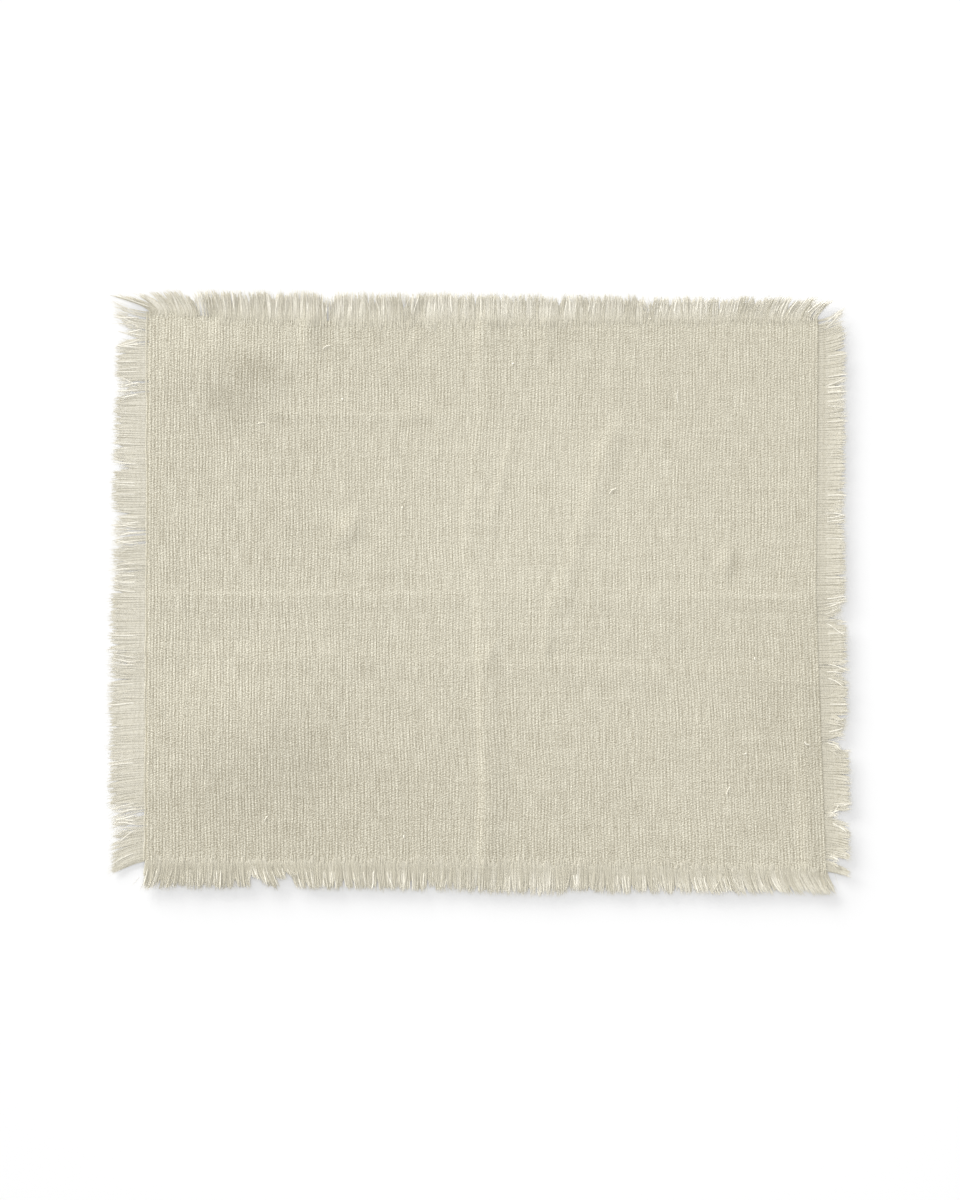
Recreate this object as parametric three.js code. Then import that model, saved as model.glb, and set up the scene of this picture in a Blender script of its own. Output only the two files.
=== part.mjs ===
// A fringed linen napkin lying open on a table, with its ribs running from the near edge to the far one.
// Units are millimetres. +X is to the right, +Y is towards the far edge and +Z is up.
// The origin is on the table, under the middle of the whole napkin.

import * as THREE from "three";

// Woven cloth
const RIB_COUNT = 213;
const RIB_HEIGHT = 0.4;
const CLOTH_THICK = 1.0;
const RIBS_PER_UNDERSIDE_LINE = 3;

// Fringe: the cloth's own yarns, bundled in locks that spring from a narrow band beside the edge
const EDGE_GAP = 0.3;
const BAND_WIDTH = 1.6;
const BAND_HEIGHT = 1.2;
const LOCKS = { far: 80, near: 80, left: 64, right: 64 };
const LOCK_GAP = 0.35;
const LOCK_UNEVEN_PITCH = 0.13;
const LOCK_UNEVEN_LEAN = 0.7;
const LOCK_SHORTER_BY = 2.4;
const CUT_LOCK_SHARE = 0.16;
const CUT_LOCK_SHORTER_BY = 4.5;
// A lock's sections past its root, as shares of its length, lean, width and height
const LOCK_SECTIONS = [
  { along: 0.52, bend: 0.36, width: 0.84, height: 1 },
  { along: 1, bend: 1, width: 0.6, height: 0.6 },
];

// How closely the straight runs of the mesh follow the cloth's curves
const CLOTH_STEPS = 70;
const CLOTH_BLOCKS = 72;
const BAND_STEP = 2.5;
const SMOOTH_WITHIN = 0.08;

// The woven edge of each side: distance out from the centre line, at places along the side
const OUTLINE = {
  far: [
    { at: -208, out: 175.3 },
    { at: -175, out: 172.0 },
    { at: -113, out: 169.6 },
    { at: -50, out: 168.3 },
    { at: 75, out: 169.5 },
    { at: 213, out: 170.0 },
  ],
  near: [
    { at: -208, out: 166.4 },
    { at: -141, out: 167.6 },
    { at: -49, out: 167.8 },
    { at: 74, out: 170.1 },
    { at: 213, out: 173.2 },
  ],
  left: [
    { at: -175, out: 205.0 },
    { at: -4, out: 205.9 },
    { at: 177, out: 207.4 },
  ],
  right: [
    { at: -175, out: 212.4 },
    { at: -4, out: 208.2 },
    { at: 177, out: 211.6 },
  ],
};

// The fringe of each side: how far out the tips reach, and how far along the side they lean
const FRINGE = {
  far: [
    { at: -208, tip: 186.6, lean: -11 },
    { at: -192, tip: 187.6, lean: -6 },
    { at: -165, tip: 187.8, lean: -3 },
    { at: -140, tip: 187.8, lean: 0 },
    { at: -20, tip: 186.4, lean: 0 },
    { at: 130, tip: 184.4, lean: 0.5 },
    { at: 165, tip: 184.2, lean: 3 },
    { at: 195, tip: 183.8, lean: 7 },
    { at: 213, tip: 182.8, lean: 11 },
  ],
  near: [
    { at: -208, tip: 184.0, lean: -4 },
    { at: -170, tip: 183.4, lean: -1 },
    { at: -150, tip: 183.2, lean: 1 },
    { at: -134, tip: 183.0, lean: 4 },
    { at: -108, tip: 183.6, lean: 2 },
    { at: -25, tip: 184.8, lean: 0 },
    { at: 37, tip: 187.8, lean: 0 },
    { at: 98, tip: 186.2, lean: 1 },
    { at: 160, tip: 187.2, lean: 4 },
    { at: 213, tip: 187.8, lean: 8 },
  ],
  left: [
    { at: -168, tip: 225.6, lean: -9 },
    { at: -146, tip: 226.6, lean: -4 },
    { at: -115, tip: 227.6, lean: -2 },
    { at: -30, tip: 228.0, lean: 0 },
    { at: 90, tip: 227.4, lean: 0 },
    { at: 135, tip: 226.8, lean: -1 },
    { at: 158, tip: 226.6, lean: 0 },
    { at: 176, tip: 225.0, lean: 1 },
  ],
  right: [
    { at: -174, tip: 226.6, lean: -4 },
    { at: -140, tip: 228.0, lean: -2 },
    { at: -85, tip: 227.2, lean: 0 },
    { at: 40, tip: 226.6, lean: 0 },
    { at: 110, tip: 226.6, lean: 2 },
    { at: 150, tip: 227.4, lean: 5 },
    { at: 171, tip: 227.0, lean: 11 },
  ],
};

// Places where the fringe parts: its locks lean away to both sides and are shorter
const PARTINGS = [
  { side: "far", at: -97, reach: 9, push: 2.2, shorter: 5 },
  { side: "far", at: 106, reach: 7, push: 1.4, shorter: 3 },
  { side: "near", at: -139, reach: 6, push: 1.1, shorter: 5 },
  { side: "near", at: -120, reach: 7, push: 1.3, shorter: 6 },
  { side: "left", at: 161, reach: 7, push: 1.6, shorter: 4 },
  { side: "left", at: 128, reach: 8, push: 1.6, shorter: 4 },
  { side: "left", at: 46, reach: 6, push: 1.2, shorter: 3 },
  { side: "left", at: -144, reach: 9, push: 2.0, shorter: 5 },
  { side: "right", at: -90, reach: 7, push: 1.6, shorter: 4 },
  { side: "right", at: 12, reach: 6, push: 1.2, shorter: 3 },
];

// Creases: soft ridges that run along X or Y, with the place of the crest on the other axis,
// and how far they spread before the crest, on its left or near side, and past it
const CREASES = {
  centreFold: {
    runs: "y",
    before: 4,
    past: 16,
    rows: [
      { at: -175, line: 3, height: 0.5 },
      { at: -120, line: 3, height: 0.4 },
      { at: -50, line: 2, height: 0.25 },
      { at: 0, line: -1, height: 0.15 },
      { at: 15, line: -6, height: 0.15 },
      { at: 40, line: -8, height: 0.15 },
      { at: 60, line: -3, height: 0.1 },
      { at: 110, line: 1, height: 0.1 },
      { at: 150, line: 1, height: 0.3 },
      { at: 176, line: 3, height: 0.8 },
    ],
  },
  crossFold: {
    runs: "x",
    before: 14,
    past: 8,
    rows: [
      { at: -207, line: -4, height: 0.14 },
      { at: -60, line: -4, height: 0.12 },
      { at: 0, line: -3, height: 0.05 },
      { at: 60, line: -4, height: 0.08 },
      { at: 208, line: -4, height: 0.14 },
    ],
  },
  slantingFold: {
    runs: "y",
    before: 9,
    past: 14,
    rows: [
      { at: -42, line: 38, height: 0 },
      { at: -20, line: 42, height: 0.14 },
      { at: 20, line: 58, height: 0.14 },
      { at: 60, line: 70, height: 0.2 },
      { at: 98, line: 82, height: 0.3 },
      { at: 108, line: 84, height: 0 },
    ],
  },
  secondSlantingFold: {
    runs: "y",
    before: 5,
    past: 9,
    rows: [
      { at: 30, line: 4, height: 0 },
      { at: 50, line: 8, height: 0.15 },
      { at: 84, line: 18, height: 0.15 },
      { at: 100, line: 20, height: 0 },
    ],
  },
  rightEdgeFold: {
    runs: "y",
    before: 9,
    past: 9,
    rows: [
      { at: -176, line: 202, height: 0.35 },
      { at: -4, line: 199, height: 0 },
    ],
  },
  leftPucker: {
    runs: "y",
    before: 9,
    past: 9,
    rows: [
      { at: 138, line: -107, height: 0 },
      { at: 176, line: -107, height: 0.9 },
    ],
  },
  rightPucker: {
    runs: "y",
    before: 9,
    past: 9,
    rows: [
      { at: 138, line: 42, height: 0 },
      { at: 176, line: 42, height: 0.5 },
    ],
  },
  cornerPucker: {
    runs: "y",
    before: 9,
    past: 9,
    rows: [
      { at: 150, line: -162, height: 0 },
      { at: 176, line: -162, height: 0.4 },
    ],
  },
  upperCrossCrease: {
    runs: "x",
    before: 7,
    past: 4,
    rows: [
      { at: -150, line: 111, height: 0 },
      { at: -130, line: 111, height: 0.25 },
      { at: -30, line: 110, height: 0.25 },
      { at: -10, line: 110, height: 0 },
    ],
  },
  lowerRipple: {
    runs: "x",
    before: 14,
    past: 8,
    rows: [
      { at: -207, line: -37, height: 0.15 },
      { at: 208, line: -55, height: 0.2 },
    ],
  },
};

// Swells: low rounded rises of the cloth, each an ellipse turned about the vertical
const SWELLS = {
  farLeft: { x: -165, y: 140, halfLong: 60, halfShort: 42, turn: -20, height: 1.2 },
  nearLeft: { x: -148, y: -86, halfLong: 80, halfShort: 64, turn: 15, height: 1.2 },
  dent: { x: -83, y: 38, halfLong: 17, halfShort: 11, turn: 55, height: 0.55 },
  pinchLeftOfMiddle: { x: 7, y: -38, halfLong: 12, halfShort: 6, turn: 70, height: 0.3 },
  pinchRightOfMiddle: { x: 42, y: -36, halfLong: 12, halfShort: 6, turn: 80, height: 0.25 },
  pinchOnTheRight: { x: 153, y: 18, halfLong: 18, halfShort: 8, turn: 80, height: 0.3 },
};

const RIGHT = new THREE.Vector3(1, 0, 0);
const LEFT = new THREE.Vector3(-1, 0, 0);
const FAR = new THREE.Vector3(0, 1, 0);
const NEAR = new THREE.Vector3(0, -1, 0);
const UP = new THREE.Vector3(0, 0, 1);

// Which way each side runs and faces, the sides it starts and ends at, and what its unevenness grows from
const SIDES = {
  far: { along: RIGHT, outward: FAR, first: "left", last: "right", seed: 11 },
  near: { along: RIGHT, outward: NEAR, first: "left", last: "right", seed: 23 },
  left: { along: FAR, outward: LEFT, first: "near", last: "far", seed: 37 },
  right: { along: FAR, outward: RIGHT, first: "near", last: "far", seed: 51 },
};

const LINEN = { color: 0xd2ccb9, roughness: 0.95, metalness: 0 };
const LINEN_YARN = { color: 0xd6d0be, roughness: 0.9, metalness: 0 };

const { lerp, clamp, degToRad } = THREE.MathUtils;

// The value of a table's column at a place between its rows.
function read(rows, at, column) {
  const found = rows.findIndex((row) => row.at >= at);
  const after = found < 0 ? rows.length - 1 : Math.max(found, 1);
  const low = rows[after - 1];
  const high = rows[after];
  const share = clamp((at - low.at) / (high.at - low.at), 0, 1);
  return lerp(low[column], high[column], share);
}

// A repeatable run of uneven numbers between -1 and 1.
function makeUneven(seed) {
  let state = seed;
  return () => {
    state = (Math.imul(state, 1664525) + 1013904223) >>> 0;
    return (state / 2 ** 32) * 2 - 1;
  };
}

// A rounded hill: 1 at its middle, flat to the table at a distance of 1 and beyond.
function hill(distance) {
  return distance < 1 ? (1 + Math.cos(Math.PI * distance)) / 2 : 0;
}

function creaseLift(crease, x, y) {
  const [at, beside] = crease.runs === "y" ? [y, x] : [x, y];
  const away = beside - read(crease.rows, at, "line");
  const spread = away < 0 ? crease.before : crease.past;
  return read(crease.rows, at, "height") * hill(Math.abs(away) / spread);
}

function swellLift(swell, x, y) {
  const turn = degToRad(swell.turn);
  const dx = x - swell.x;
  const dy = y - swell.y;
  const long = dx * Math.cos(turn) + dy * Math.sin(turn);
  const short = dy * Math.cos(turn) - dx * Math.sin(turn);
  return swell.height * hill(Math.hypot(long / swell.halfLong, short / swell.halfShort));
}

// How high the underside of the cloth stands off the table.
function lift(x, y) {
  let height = 0;
  for (const crease of Object.values(CREASES)) height += creaseLift(crease, x, y);
  for (const swell of Object.values(SWELLS)) height += swellLift(swell, x, y);
  return height;
}

// The points between two ends at which any of a set of lines bends.
function bendsBetween(lines, from, to) {
  const nearest = new THREE.Vector3();
  let worst = SMOOTH_WITHIN;
  let bend = -1;
  for (const points of lines) {
    const straight = new THREE.Line3(points[from], points[to]);
    for (let step = from + 1; step < to; step += 1) {
      straight.closestPointToPoint(points[step], true, nearest);
      const miss = nearest.distanceTo(points[step]);
      if (miss > worst) {
        worst = miss;
        bend = step;
      }
    }
  }
  return bend < 0 ? [] : [...bendsBetween(lines, from, bend), bend, ...bendsBetween(lines, bend, to)];
}

// The steps at which lines side by side have to keep a point, their ends among them.
function bendsOf(lines) {
  const last = lines[0].length - 1;
  return [0, ...bendsBetween(lines, 0, last), last];
}

// A line's points at some steps, on the straight runs between its bends.
function straighten(points, bends, steps) {
  return steps.map((step) => {
    const after = Math.max(bends.findIndex((bend) => bend >= step), 1);
    const low = bends[after - 1];
    const high = bends[after];
    return points[low].clone().lerp(points[high], (step - low) / (high - low));
  });
}

// One line of the cloth from the near edge to the far one, at a share of the way across.
function clothLine(share, raised) {
  const xAt = (y) => lerp(-read(OUTLINE.left, y, "out"), read(OUTLINE.right, y, "out"), share);
  const nearY = -read(OUTLINE.near, xAt(-OUTLINE.near[0].out), "out");
  const farY = read(OUTLINE.far, xAt(OUTLINE.far[0].out), "out");
  const points = [];
  for (let step = 0; step <= CLOTH_STEPS; step += 1) {
    const y = lerp(nearY, farY, step / CLOTH_STEPS);
    const x = xAt(y);
    points.push(new THREE.Vector3(x, y, lift(x, y) + raised));
  }
  return points;
}

// One face of the cloth as lines side by side. Those of a block keep the same points, and where two
// blocks meet, both lines have the points of both, so that no long sliver lies between them.
function clothLines(count, blocks, raisedAt) {
  const lines = [];
  for (let line = 0; line <= count; line += 1) lines.push(clothLine(line / count, raisedAt(line)));
  const perBlock = Math.ceil(lines.length / blocks);
  const bends = [];
  for (let start = 0; start < lines.length; start += perBlock) {
    bends.push(bendsOf(lines.slice(start, start + perBlock)));
  }
  const bendsAt = (line) => bends[Math.floor(line / perBlock)] ?? [];
  return lines.map((points, line) => {
    const steps = new Set([line - 1, line, line + 1].flatMap(bendsAt));
    return straighten(points, bendsAt(line), [...steps].sort((a, b) => a - b));
  });
}

// Collects the triangles of a closed surface that is stitched together from shared points.
class Stitcher {
  constructor() {
    this.positions = [];
    this.index = [];
    this.numbers = new Map();
  }

  numberOf(point) {
    if (!this.numbers.has(point)) {
      this.numbers.set(point, this.positions.length / 3);
      this.positions.push(point.x, point.y, point.z);
    }
    return this.numbers.get(point);
  }

  face(...corners) {
    for (let i = 1; i + 1 < corners.length; i += 1) {
      this.index.push(this.numberOf(corners[0]), this.numberOf(corners[i]), this.numberOf(corners[i + 1]));
    }
  }

  // Fills the strip between two lines that run the same way along the named axis.
  join(first, second, axis) {
    let i = 0;
    let j = 0;
    while (i + 1 < first.length || j + 1 < second.length) {
      const stepFirst =
        j + 1 >= second.length || (i + 1 < first.length && first[i + 1][axis] <= second[j + 1][axis]);
      this.face(first[i], second[j], stepFirst ? first[i + 1] : second[j + 1]);
      if (stepFirst) i += 1;
      else j += 1;
    }
  }

  // Wraps the sides of a bar whose rings have their corners in the same order.
  wrap(rings) {
    for (let ring = 0; ring + 1 < rings.length; ring += 1) {
      const count = rings[ring].length;
      for (let corner = 0; corner < count; corner += 1) {
        const next = (corner + 1) % count;
        this.face(rings[ring][corner], rings[ring][next], rings[ring + 1][corner]);
        this.face(rings[ring][next], rings[ring + 1][next], rings[ring + 1][corner]);
      }
    }
  }

  geometry() {
    const made = new THREE.BufferGeometry();
    made.setAttribute("position", new THREE.Float32BufferAttribute(this.positions, 3));
    made.setIndex(this.index);
    return made;
  }
}

// The woven cloth: ribs on top, a plain underside, and its folds in both.
function makeCloth() {
  const raisedAt = (line) => CLOTH_THICK + (line % 2 === 1 ? RIB_HEIGHT : 0);
  const ribLines = clothLines(2 * RIB_COUNT, CLOTH_BLOCKS, raisedAt);
  const underLines = clothLines(RIB_COUNT / RIBS_PER_UNDERSIDE_LINE, CLOTH_BLOCKS, () => 0);

  const skin = new Stitcher();
  for (let i = 0; i + 1 < ribLines.length; i += 1) skin.join(ribLines[i], ribLines[i + 1], "y");
  for (let i = 0; i + 1 < underLines.length; i += 1) skin.join(underLines[i + 1], underLines[i], "y");
  skin.join(underLines[0], ribLines[0], "y");
  skin.join(ribLines.at(-1), underLines.at(-1), "y");
  const nearEnds = (lines) => lines.map((line) => line[0]);
  const farEnds = (lines) => lines.map((line) => line.at(-1));
  skin.join(nearEnds(ribLines), nearEnds(underLines), "x");
  skin.join(farEnds(underLines), farEnds(ribLines), "x");
  return skin.geometry();
}

// The frame of one side, in which X runs along the side and Y points out of the cloth.
function sideMatrix(side) {
  const { along, outward } = SIDES[side];
  return new THREE.Matrix4().makeBasis(along, outward, UP);
}

// A point beside the woven edge, in the side's own frame, as high as the cloth's edge is there.
function besideEdge(side, at, beyond, height) {
  const out = read(OUTLINE[side], at, "out");
  const onEdge = new THREE.Vector3(at, out, 0).applyMatrix4(sideMatrix(side));
  return new THREE.Vector3(at, out + beyond, lift(onEdge.x, onEdge.y) + height);
}

// The ends of a side's edge, where the edges of its two neighbours cross it.
function sideEnds(side) {
  const { first, last, outward } = SIDES[side];
  const beside = (outward.x + outward.y) * OUTLINE[side][1].out;
  return [-read(OUTLINE[first], beside, "out"), read(OUTLINE[last], beside, "out")];
}

// What the partings of a side add to a lock's lean and take off its length.
function partingAt(side, at) {
  let push = 0;
  let shorter = 0;
  for (const parting of PARTINGS.filter((row) => row.side === side)) {
    const away = at - parting.at;
    push += Math.sign(away) * parting.push * hill(Math.abs(away) / (2 * parting.reach));
    shorter += parting.shorter * hill(Math.abs(away) / parting.reach);
  }
  return { push, shorter };
}

// The rings of one lock: three-sided, flat underneath, bent sideways and narrowing to a blunt cut end.
function lockRings(side, start, end, uneven) {
  const at = (start + end) / 2;
  const half = (end - start - LOCK_GAP) / 2;
  const { push, shorter } = partingAt(side, at);
  const lean = read(FRINGE[side], at, "lean") + push + LOCK_UNEVEN_LEAN * uneven();
  const root = [
    besideEdge(side, at - half, EDGE_GAP + BAND_WIDTH, 0),
    besideEdge(side, at, EDGE_GAP + BAND_WIDTH, BAND_HEIGHT),
    besideEdge(side, at + half, EDGE_GAP + BAND_WIDTH, 0),
  ];
  let cut = shorter + (LOCK_SHORTER_BY * (1 + uneven())) / 2;
  if (uneven() > 1 - 2 * CUT_LOCK_SHARE) cut += (CUT_LOCK_SHORTER_BY * (1 + uneven())) / 2;
  const length = read(FRINGE[side], at, "tip") - cut - root[1].y;
  const ringAt = (section) => {
    const x = at + lean * section.bend;
    const y = root[1].y + length * section.along;
    const z = root[0].z * (1 - section.along);
    return [
      new THREE.Vector3(x - half * section.width, y, z),
      new THREE.Vector3(x, y, z + BAND_HEIGHT * section.height),
      new THREE.Vector3(x + half * section.width, y, z),
    ];
  };
  return [root, ...LOCK_SECTIONS.map(ringAt)];
}

// Where the locks of a side part from each other: an even pitch made a little uneven.
function lockBreaks(side, uneven) {
  const [start, end] = sideEnds(side);
  const pitch = (end - start) / LOCKS[side];
  const breaks = [start];
  for (let lock = 1; lock < LOCKS[side]; lock += 1) {
    breaks.push(start + pitch * (lock + LOCK_UNEVEN_PITCH * uneven()));
  }
  return [...breaks, end];
}

// The lower line of the band's inner face, beside the woven edge.
function bandLine(side) {
  const [start, end] = sideEnds(side);
  const steps = Math.ceil((end - start) / BAND_STEP);
  const points = [];
  for (let step = 0; step <= steps; step += 1) {
    points.push(besideEdge(side, lerp(start, end, step / steps), EDGE_GAP, 0));
  }
  return bendsOf([points]).map((step) => points[step]);
}

// The fringe of one side: a narrow band just outside the woven edge, with all its locks, as one solid.
function makeFringe(side) {
  const uneven = makeUneven(SIDES[side].seed);
  const breaks = lockBreaks(side, uneven);
  const locks = breaks.slice(1).map((end, lock) => lockRings(side, breaks[lock], end, uneven));
  const innerLow = bandLine(side);
  const innerHigh = innerLow.map((point) => point.clone().setZ(point.z + BAND_HEIGHT));
  const [startLow, startHigh, endLow, endHigh] = sideEnds(side).flatMap((at) => [
    besideEdge(side, at, EDGE_GAP + BAND_WIDTH, 0),
    besideEdge(side, at, EDGE_GAP + BAND_WIDTH, BAND_HEIGHT),
  ]);
  const outerLow = [startLow, ...locks.flatMap(([root]) => [root[0], root[2]]), endLow];
  const outerHigh = [startHigh, ...locks.map(([root]) => root[1]), endHigh];

  const skin = new Stitcher();
  skin.join(innerLow, outerLow, "x");
  skin.join(outerHigh, innerHigh, "x");
  skin.join(innerHigh, innerLow, "x");
  skin.face(innerLow[0], innerHigh[0], startHigh, startLow);
  skin.face(innerLow.at(-1), endLow, endHigh, innerHigh.at(-1));
  for (let gap = 0; gap + 1 < outerHigh.length; gap += 1) {
    skin.face(outerLow[2 * gap], outerHigh[gap], outerHigh[gap + 1], outerLow[2 * gap + 1]);
  }
  for (const rings of locks) {
    skin.wrap(rings);
    skin.face(...rings.at(-1));
  }
  return turnToSide(skin.geometry(), side);
}

// Turns geometry made in a side's own frame into the napkin's frame.
function turnToSide(geometry, side) {
  const matrix = sideMatrix(side);
  // A mirroring frame turns every face round, so the corners of each are taken the other way.
  if (matrix.determinant() < 0) geometry.index.array.reverse();
  return geometry.applyMatrix4(matrix);
}

function addPiece(group, name, geometry, finish) {
  geometry.computeVertexNormals();
  const mesh = new THREE.Mesh(geometry, new THREE.MeshStandardMaterial(finish));
  mesh.name = name;
  group.add(mesh);
}

const napkin = new THREE.Group();
addPiece(napkin, "cloth", makeCloth(), LINEN);
for (const side of Object.keys(SIDES)) addPiece(napkin, `fringe_${side}`, makeFringe(side), LINEN_YARN);

// The uneven tips leave the middle a fraction of a millimetre off, so the whole is centred last.
const middle = new THREE.Box3().setFromObject(napkin).getCenter(new THREE.Vector3());
napkin.position.set(-middle.x, -middle.y, 0);

export default napkin;
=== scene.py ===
# Looks of a fringed linen napkin that lies open on a table.
# Tables and sizes are in millimetres from the cloth's centre lines, and MM turns them into Blender's metres.

import math

import bpy
import numpy as np
from mathutils import Matrix, Vector


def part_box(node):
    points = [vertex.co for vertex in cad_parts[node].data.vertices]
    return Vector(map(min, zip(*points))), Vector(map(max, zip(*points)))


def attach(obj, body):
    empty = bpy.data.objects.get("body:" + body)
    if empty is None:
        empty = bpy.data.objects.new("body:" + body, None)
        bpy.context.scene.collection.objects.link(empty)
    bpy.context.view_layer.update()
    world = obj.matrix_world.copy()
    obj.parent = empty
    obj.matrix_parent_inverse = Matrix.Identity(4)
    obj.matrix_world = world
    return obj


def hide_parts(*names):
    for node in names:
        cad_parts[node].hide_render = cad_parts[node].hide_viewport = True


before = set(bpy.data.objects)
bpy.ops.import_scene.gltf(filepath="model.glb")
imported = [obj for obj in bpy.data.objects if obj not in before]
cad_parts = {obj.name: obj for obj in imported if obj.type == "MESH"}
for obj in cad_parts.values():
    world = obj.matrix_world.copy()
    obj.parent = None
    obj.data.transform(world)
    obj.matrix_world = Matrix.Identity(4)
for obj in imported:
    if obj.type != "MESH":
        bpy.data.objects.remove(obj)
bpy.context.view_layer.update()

MM = 0.001

# Woven cloth: its ribs run along Y, and the crosswise yarns along X. The profile is a rib's height at even
# steps across it, as a share of the whole. From left to right, between two places, the ribs get flatter.
RIB_COUNT = 213
RIB_HEIGHT = 0.18
RIB_PROFILE = (0.0, 0.72, 1.0, 0.72)
RIB_FULLNESS = 0.75
RIBS_FLATTER = {"at": (-130, -20), "share": (1.0, 0.68)}
CROSS_YARN_COUNT = 230
CROSS_YARN_PITCH = 1.5
CLOTH_THICK = 1.1
CLOTH_ROWS = 96
ROWS_PER_UNDERSIDE_ROW = 2
PLAN_STEPS = 40

# Unevenness of the ribs, as noise: its cells to a rib, how long they are along it, and how much they add.
# Ribs wander sideways, and do so in full a few ribs away from the left and right edges.
RIB_NOISE = {
    "fullness": {"cells": 0.9, "long": 12, "adds": 0.3, "seed": 5},
    "fine fullness": {"cells": 2, "long": 3, "adds": 0.15, "seed": 6},
    "wander": {"cells": 0.35, "long": 22, "adds": 0.45, "seed": 7},
    "long wander": {"cells": 0.04, "long": 40, "adds": 0.9, "seed": 9},
    "ragged edge": {"cells": 1.3, "long": 1, "adds": 0.5, "seed": 8},
}
RIBS_TO_FULL_WANDER = 4

# Fringe: yarns bundled in locks, which fan out, part and lean together
LOCKS = {"far": 80, "near": 80, "left": 64, "right": 64}
LOCK_UNEVEN_PITCH = 0.13
LOCK_UNEVEN_LEAN = 1.6
LOCK_SHORTER_BY = 2.4
CUT_LOCK_SHARE = 0.16
CUT_LOCK_SHORTER_BY = 4.5

# The woven edge of each side: distance out from the centre line, at places along the side
OUTLINE = {
    "far": {
        "at": (-208, -175, -113, -50, 75, 213),
        "out": (175.3, 172.0, 169.6, 168.3, 169.5, 170.0),
    },
    "near": {
        "at": (-208, -141, -49, 74, 213),
        "out": (166.4, 167.6, 167.8, 170.1, 173.2),
    },
    "left": {"at": (-175, -4, 177), "out": (205.0, 205.9, 207.4)},
    "right": {"at": (-175, -4, 177), "out": (212.4, 208.2, 211.6)},
}

# The fringe of each side: how far out the tips reach, how far along the side they lean, and how pale it is
FRINGE = {
    "far": {
        "at": (-208, -192, -165, -140, -20, 130, 165, 195, 213),
        "tip": (184.6, 187.6, 187.8, 187.8, 186.4, 184.4, 184.2, 183.8, 182.4),
        "lean": (-18, -8, -3, 0, 0, 0.5, 3, 7, 13),
        "tone": (0.36, 0.33, 0.31, 0.31, 0.29, 0.28, 0.28, 0.3, 0.34),
    },
    "near": {
        "at": (-208, -170, -150, -134, -108, -25, 37, 98, 160, 213),
        "tip": (184.0, 183.4, 183.2, 183.0, 183.6, 184.8, 187.8, 186.2, 187.2, 187.8),
        "lean": (-4, -1, 1, 4, 2, 0, 0, 1, 4, 8),
        "tone": (-0.12, -0.13, -0.13, -0.13, -0.12, -0.08, 0, 0.07, 0.09, 0.09),
    },
    "left": {
        "at": (-168, -146, -115, -30, 90, 135, 158, 176),
        "tip": (226.6, 227.6, 229.0, 229.6, 228.4, 227.6, 228.6, 229.4),
        "lean": (-9, -4, -2, 0, 0, -1, 0, 8),
        "tone": (0.22, 0.34, 0.37, 0.37, 0.38, 0.38, 0.38, 0.38),
    },
    "right": {
        "at": (-174, -140, -85, 40, 120, 152, 171),
        "tip": (226.6, 228.0, 227.2, 226.6, 227.8, 228.6, 228.0),
        "lean": (-4, -2, 0, 0, 1, 3, 10),
        "tone": (0.14, 0.14, 0.14, 0.2, 0.22, 0.22, 0.22),
    },
}

# Places where the fringe of a side parts: its locks lean away to both sides and are shorter
PARTINGS = {
    "far": (
        {"at": -97, "reach": 4, "push": 1.4, "shorter": 6},
        {"at": 105, "reach": 5, "push": 1.2, "shorter": 2},
    ),
    "near": (
        {"at": -139, "reach": 6, "push": 1.1, "shorter": 5},
        {"at": -120, "reach": 7, "push": 1.3, "shorter": 6},
    ),
    "left": (
        {"at": 160, "reach": 6, "push": 0.2, "shorter": 7},
        {"at": 128, "reach": 8, "push": 0.3, "shorter": 0.5},
        {"at": 47, "reach": 5, "push": 0.6, "shorter": 4},
        {"at": -144, "reach": 9, "push": 0.7, "shorter": 2},
    ),
    "right": (
        {"at": -165, "reach": 3.5, "push": 1.5, "shorter": 6},
        {"at": -139, "reach": 6, "push": 0.8, "shorter": 4.5},
        {"at": -93, "reach": 7, "push": 1.6, "shorter": 4},
        {"at": -15, "reach": 6, "push": 1.0, "shorter": 2.5},
    ),
}

# Places where the yarns lie loose, apart and uneven. Between them they are matted, and cut off straighter.
LOOSE_PLACES = {
    "far": (
        {"at": -212, "reach": 16, "loose": 1.0},
        {"at": -172, "reach": 9, "loose": 0.9},
        {"at": -97, "reach": 6, "loose": 0.8},
        {"at": -45, "reach": 7, "loose": 0.6},
        {"at": 104, "reach": 6, "loose": 0.8},
        {"at": 212, "reach": 16, "loose": 1.0},
    ),
    "near": (
        {"at": -208, "reach": 6, "loose": 1.0},
        {"at": -130, "reach": 20, "loose": 0.4},
        {"at": 57, "reach": 6, "loose": 0.6},
        {"at": 150, "reach": 5, "loose": 0.7},
        {"at": 211, "reach": 5, "loose": 0.9},
    ),
    "left": (
        {"at": -174, "reach": 8, "loose": 0.8},
        {"at": -140, "reach": 15, "loose": 1.0},
        {"at": -64, "reach": 7, "loose": 0.3},
        {"at": -44, "reach": 13, "loose": 0.6},
        {"at": 10, "reach": 15, "loose": 0.7},
        {"at": 35, "reach": 14, "loose": 0.9},
        {"at": 79, "reach": 6, "loose": 0.5},
        {"at": 127, "reach": 8, "loose": 0.9},
        {"at": 160, "reach": 13, "loose": 0.9},
        {"at": 174, "reach": 8, "loose": 1.0},
    ),
    "right": (
        {"at": -163, "reach": 6, "loose": 0.9},
        {"at": -138, "reach": 8, "loose": 0.8},
        {"at": -88, "reach": 15, "loose": 0.6},
        {"at": -48, "reach": 8, "loose": 0.6},
        {"at": -13, "reach": 13, "loose": 0.7},
        {"at": 48, "reach": 10, "loose": 0.4},
        {"at": 118, "reach": 17, "loose": 0.4},
        {"at": 167, "reach": 9, "loose": 0.9},
    ),
}

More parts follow.
